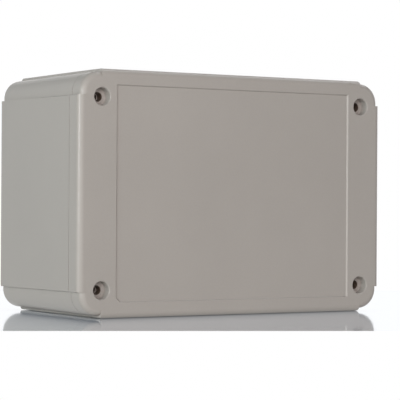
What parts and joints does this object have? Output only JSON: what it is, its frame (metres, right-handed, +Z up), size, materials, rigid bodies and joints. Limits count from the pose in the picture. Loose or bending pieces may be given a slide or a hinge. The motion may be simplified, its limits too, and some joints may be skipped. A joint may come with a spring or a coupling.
{
  "type": "electronics enclosure",
  "caption": "Grey moulded plastic case with a screw-on lid that has a recessed panel, set-back corner columns, a tongue-and-groove seal and an empty inside with board standoffs.",
  "frame": {"origin": "middle of the footprint, on the surface that the case stands on", "axes": "+X along the long side of the lid, to the right as one faces the lid; -Y out of the lid's face; +Z up, with the case standing on a long side"},
  "size_m": [0.15, 0.071, 0.1],
  "materials": {
    "housing": "fine satin moulding texture",
    "seal": "matte"
  },
  "bodies": {
    "case": {"base": "housing"},
    "cover": {"lid": "housing", "gasket": "seal"}
  },
  "joints": [
    {"name": "lid_lift", "type": "slide", "parent": "case", "child": "cover", "axis": [0, -1, 0], "range_m": [0, 0.1]}
  ]
}
